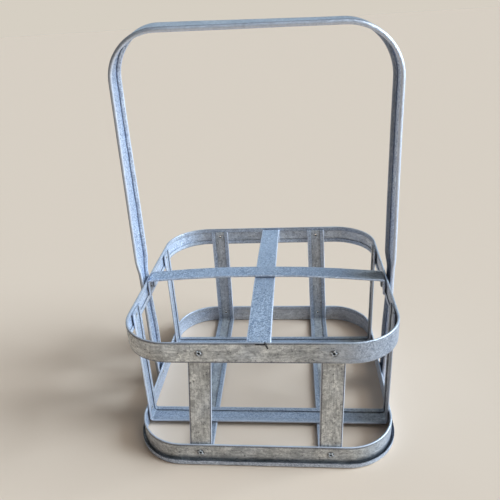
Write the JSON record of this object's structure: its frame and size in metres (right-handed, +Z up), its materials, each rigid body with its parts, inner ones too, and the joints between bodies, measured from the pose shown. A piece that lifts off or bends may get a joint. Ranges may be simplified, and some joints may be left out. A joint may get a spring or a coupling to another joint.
{
  "type": "four compartment carrier",
  "caption": "Open carrier bent from hemmed galvanized strip: rounded-square hoops joined by crossing U straps, cross dividers on top and a tall fixed arch handle.",
  "frame": {"origin": "on the table under the middle of the two hoops", "axes": "+Z up, X along the handle's span from left leg to right leg, -Y towards the front of the picture"},
  "size_m": [0.24, 0.2316, 0.349],
  "materials": {
    "hoop_steel": "zinc coated, mottled, satin",
    "strap_steel": "zinc coated, spangled, satin",
    "divider_steel": "zinc coated, spangled, satin",
    "handle_steel": "zinc coated, satin",
    "rivet_steel": "zinc coated, dull"
  },
  "bodies": {
    "root": {"top_hoop": "hoop_steel", "bottom_hoop": "hoop_steel", "strap_left": "strap_steel", "strap_right": "strap_steel", "strap_front": "strap_steel", "strap_rear": "strap_steel", "divider_front_to_back": "divider_steel", "divider_side_to_side": "divider_steel", "handle": "handle_steel", "rivet_top_front_left": "rivet_steel", "rivet_top_front_right": "rivet_steel", "rivet_top_rear_left": "rivet_steel", "rivet_top_rear_right": "rivet_steel", "rivet_top_left_front": "rivet_steel", "rivet_top_left_rear": "rivet_steel", "rivet_top_right_front": "rivet_steel", "rivet_top_right_rear": "rivet_steel", "rivet_top_left_handle": "rivet_steel", "rivet_top_right_handle": "rivet_steel", "rivet_bottom_front_left": "rivet_steel", "rivet_bottom_front_right": "rivet_steel", "rivet_bottom_rear_left": "rivet_steel", "rivet_bottom_rear_right": "rivet_steel", "rivet_bottom_left_front": "rivet_steel", "rivet_bottom_left_rear": "rivet_steel", "rivet_bottom_right_front": "rivet_steel", "rivet_bottom_right_rear": "rivet_steel", "rivet_bottom_left_handle": "rivet_steel", "rivet_bottom_right_handle": "rivet_steel"}
  },
  "joints": []
}
